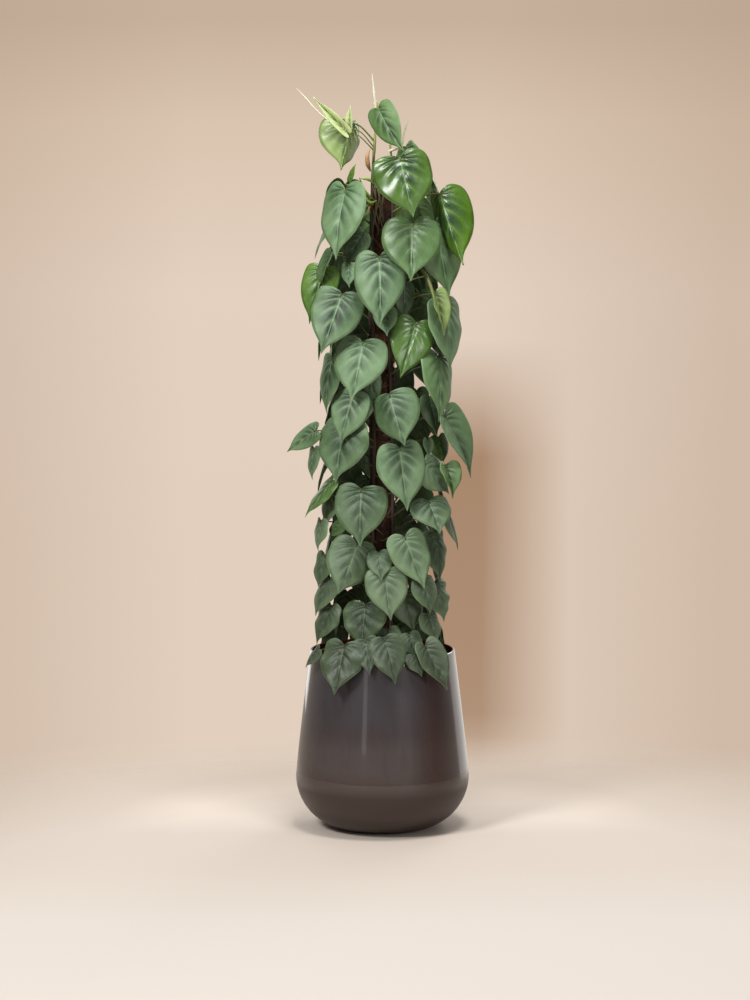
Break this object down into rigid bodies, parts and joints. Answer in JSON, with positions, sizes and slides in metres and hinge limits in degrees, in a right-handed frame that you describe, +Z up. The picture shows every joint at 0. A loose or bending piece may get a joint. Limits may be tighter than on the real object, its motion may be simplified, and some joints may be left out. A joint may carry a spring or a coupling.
{
  "type": "potted heartleaf philodendron",
  "caption": "Tall climbing house plant with heart-shaped leaves on a coir pole, growing in a rounded glazed pot filled with soil.",
  "frame": {"origin": "centre of the pot's flat foot, on the surface it stands on", "axes": "+Z up along the pole, -Y towards the viewer of the picture, +X to the viewer's right"},
  "size_m": [0.3713, 0.3553, 1.51],
  "materials": {
    "glaze": "very glossy dark taupe-brown glaze, dark red-brown inside",
    "soil": "loose moist potting mix with crumbs of bark",
    "coir": "rough reddish-brown coconut fibre",
    "stake_wood": "plain sawn and rounded wood",
    "foliage": "satin grey-green leaves, brighter and glossier at the top, with pale veins"
  },
  "bodies": {
    "root": {"pot": "glaze", "soil": "soil", "coir_wrap": "coir", "pole_stake": "stake_wood", "vine_front_left": "foliage", "vine_front_right": "foliage", "vine_back_right": "foliage", "vine_back_left": "foliage"}
  },
  "joints": []
}
